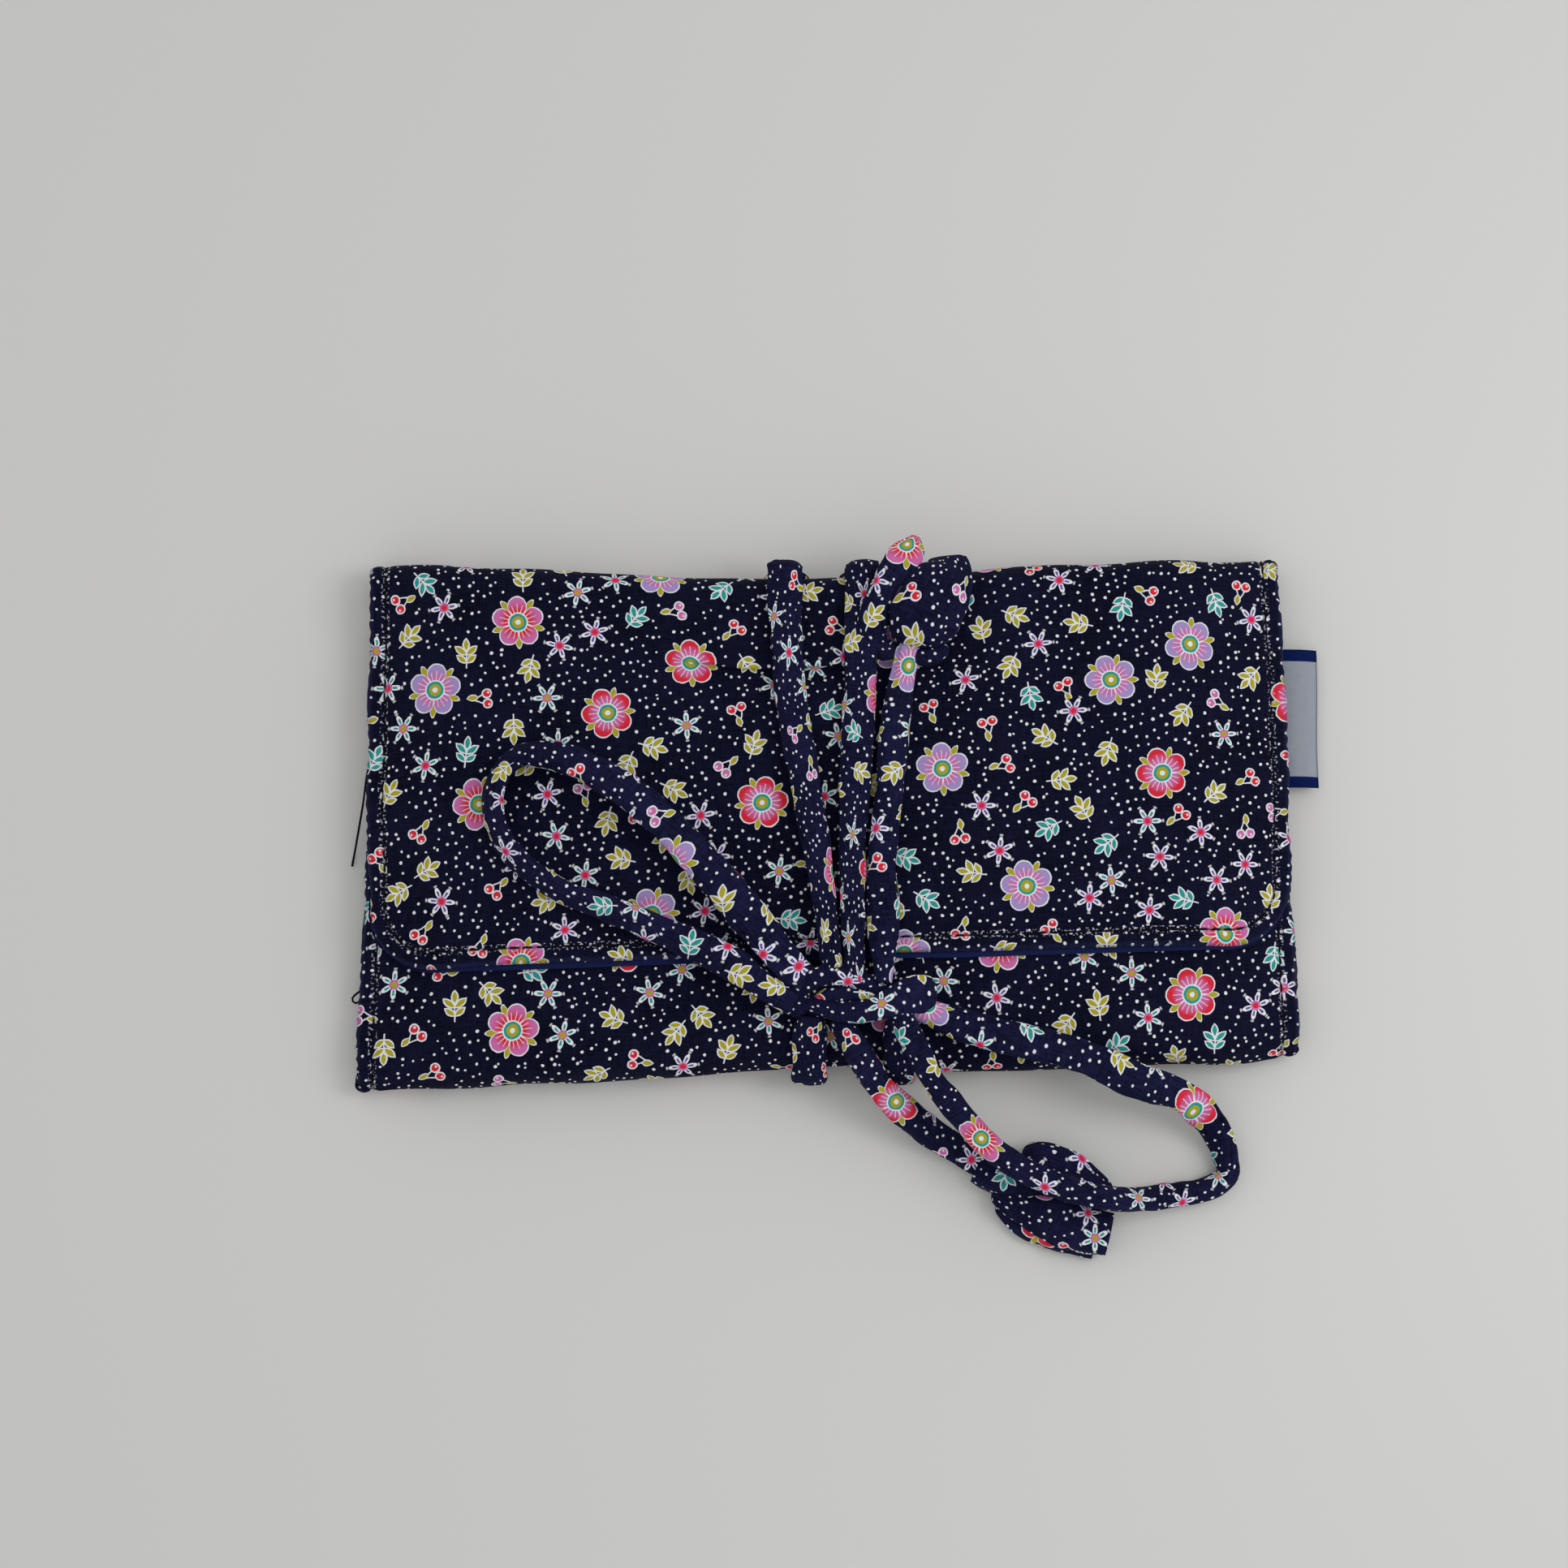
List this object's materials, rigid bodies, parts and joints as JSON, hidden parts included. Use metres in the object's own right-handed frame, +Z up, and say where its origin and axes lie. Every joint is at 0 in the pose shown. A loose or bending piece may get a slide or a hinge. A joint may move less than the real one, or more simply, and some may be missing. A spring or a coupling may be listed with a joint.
{
  "type": "jewelry pouch",
  "caption": "Flat padded cotton pouch with a rounded fold-over flap, held shut by a turned fabric tie wrapped round it and tied in a bow, for carrying jewelry.",
  "frame": {"origin": "on the table under the middle of the pouch, side label included, tie left out", "axes": "+X along the width towards the side label, +Y towards the top fold, +Z up through the thickness"},
  "size_m": [0.2062, 0.1544, 0.0242],
  "materials": {
    "printed_cotton": "plain-woven printed cotton, matt",
    "tie_cotton": "turned tube of the printed cotton, matt",
    "navy_lining": "plain-woven cotton, matt",
    "wadding": "soft polyester wadding",
    "satin_label": "woven satin, slight sheen"
  },
  "bodies": {
    "shell": {"outer_shell": "printed_cotton", "wadding_shell": "wadding", "lining_shell": "navy_lining", "inner_pocket": "navy_lining", "side_label": "satin_label"},
    "spine": {"outer_spine": "printed_cotton", "wadding_spine": "wadding", "lining_spine": "navy_lining"},
    "flap": {"outer_flap": "printed_cotton", "wadding_flap": "wadding", "lining_flap": "navy_lining"},
    "tie": {"tie_wrap_left": "tie_cotton", "tie_wrap_right": "tie_cotton", "bow_knot": "tie_cotton", "bow_loop_left": "tie_cotton", "bow_loop_right": "tie_cotton", "tie_tail_up": "tie_cotton", "tie_tail_down": "tie_cotton", "end_knot_up": "tie_cotton", "end_knot_down": "tie_cotton"}
  },
  "joints": [
    {"name": "top_fold", "type": "hinge", "parent": "shell", "child": "spine", "pos_m": [0, 0.057, 0], "axis": [-1, 0, 0], "range_deg": [0, 90]},
    {"name": "flap_fold", "type": "hinge", "parent": "spine", "child": "flap", "pos_m": [0, 0.057, 0.0151], "axis": [-1, 0, 0], "range_deg": [0, 90]},
    {"name": "tie_slip", "type": "slide", "parent": "shell", "child": "tie", "axis": [-1, 0, 0], "range_m": [0, 0.2], "deforming": ["tie_wrap_left", "tie_wrap_right", "bow_knot", "bow_loop_left", "bow_loop_right", "tie_tail_up", "tie_tail_down", "end_knot_up", "end_knot_down"]}
  ],
  "couplings": [
    {"joint": "flap_fold", "follows": "top_fold", "ratio": 1},
    {"joint": "tie_slip", "follows": "top_fold", "m_per_rad": 0.1273}
  ]
}
